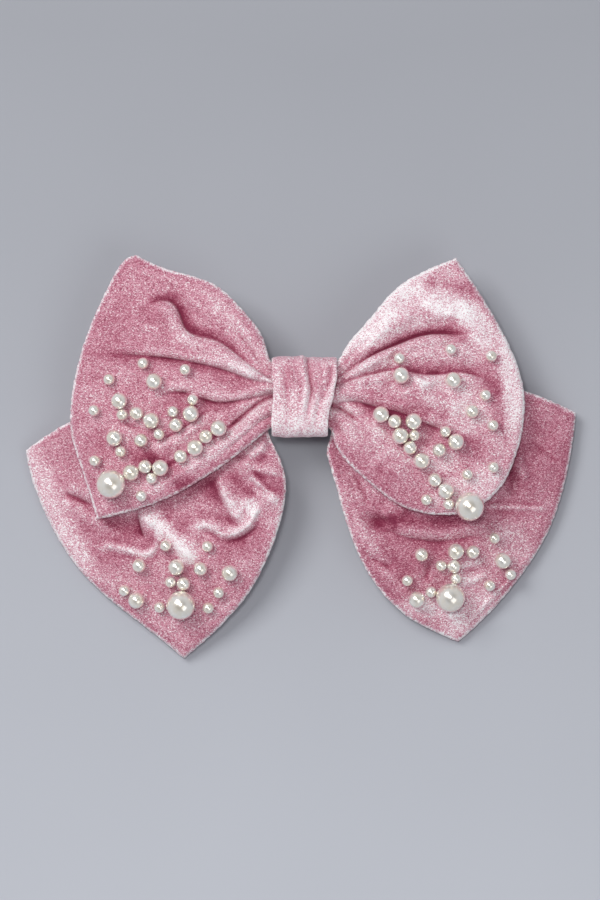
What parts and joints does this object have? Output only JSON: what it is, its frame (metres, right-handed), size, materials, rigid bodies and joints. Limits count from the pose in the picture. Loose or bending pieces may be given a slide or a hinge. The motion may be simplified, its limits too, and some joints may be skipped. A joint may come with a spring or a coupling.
{
  "type": "barrette",
  "caption": "Double hair bow of velvet wings and tails with scattered pearls and a pleated centre knot, on a hinged automatic clip with a latching clasp.",
  "frame": {"origin": "on the resting plane, under the middle of the outline seen from the front", "axes": "+Z out of the face of the bow, +X along the clip towards its hinge end, +Y towards the top of the bow"},
  "size_m": [0.189, 0.138, 0.03],
  "materials": {
    "bow_velvet": "crushed velvet, dusty pink, strong sheen",
    "tail_velvet": "crushed velvet, dusty pink, strong sheen",
    "knot_velvet": "crushed velvet in lengthwise pleats",
    "interlining": "matt soft net",
    "felt": "matt felt",
    "thread": "twisted polyester sewing thread",
    "pearl": "ivory pearl lustre",
    "clip_metal": "nickel-plated spring steel, fine rolling grain"
  },
  "bodies": {
    "root": {"bow_back_panel": "bow_velvet", "bow_front_panel": "bow_velvet", "bow_gather_thread": "thread", "bow_interlining": "interlining", "clip_backing_felt": "felt", "clip_hinge_pin": "clip_metal", "clip_top_bar": "clip_metal", "knot_band": "knot_velvet", "knot_closing_stitches": "thread", "pearl_thread_left_tail": "thread", "pearl_thread_left_wing": "thread", "pearl_thread_right_tail": "thread", "pearl_thread_right_wing": "thread", "pearls_left_tail_10mm": "pearl", "pearls_left_tail_4mm": "pearl", "pearls_left_tail_5mm": "pearl", "pearls_left_tail_6mm": "pearl", "pearls_left_wing_10mm": "pearl", "pearls_left_wing_4mm": "pearl", "pearls_left_wing_5mm": "pearl", "pearls_left_wing_6mm": "pearl", "pearls_right_tail_10mm": "pearl", "pearls_right_tail_4mm": "pearl", "pearls_right_tail_5mm": "pearl", "pearls_right_tail_6mm": "pearl", "pearls_right_wing_10mm": "pearl", "pearls_right_wing_4mm": "pearl", "pearls_right_wing_5mm": "pearl", "pearls_right_wing_6mm": "pearl", "tails_back_panel": "tail_velvet", "tails_front_panel": "tail_velvet", "tails_gather_thread": "thread", "tails_interlining": "interlining"},
    "clasp": {"clip_clasp_arm": "clip_metal"},
    "tension_leaf": {"clip_tension_bar": "clip_metal"},
    "prong_front": {"catch_prong_front": "clip_metal"},
    "prong_rear": {"catch_prong_rear": "clip_metal"}
  },
  "joints": [
    {"name": "clasp_hinge", "type": "hinge", "parent": "root", "child": "clasp", "pos_m": [0.0407, 0.0207, 0.0032], "axis": [0, -1, 0], "range_deg": [0, 100]},
    {"name": "tension_flex", "type": "hinge", "parent": "root", "child": "tension_leaf", "pos_m": [0.036, 0.0207, 0.00642], "axis": [0, 1, 0], "range_deg": [0, 2], "stiffness_Nm_per_rad": 0.3},
    {"name": "prong_front_squeeze", "type": "hinge", "parent": "root", "child": "prong_front", "pos_m": [-0.0338, 0.0186, 0.00605], "axis": [1, 0, 0], "range_deg": [0, 8], "stiffness_Nm_per_rad": 0.05},
    {"name": "prong_rear_squeeze", "type": "hinge", "parent": "root", "child": "prong_rear", "pos_m": [-0.0338, 0.0228, 0.00605], "axis": [-1, 0, 0], "range_deg": [0, 8], "stiffness_Nm_per_rad": 0.05}
  ]
}
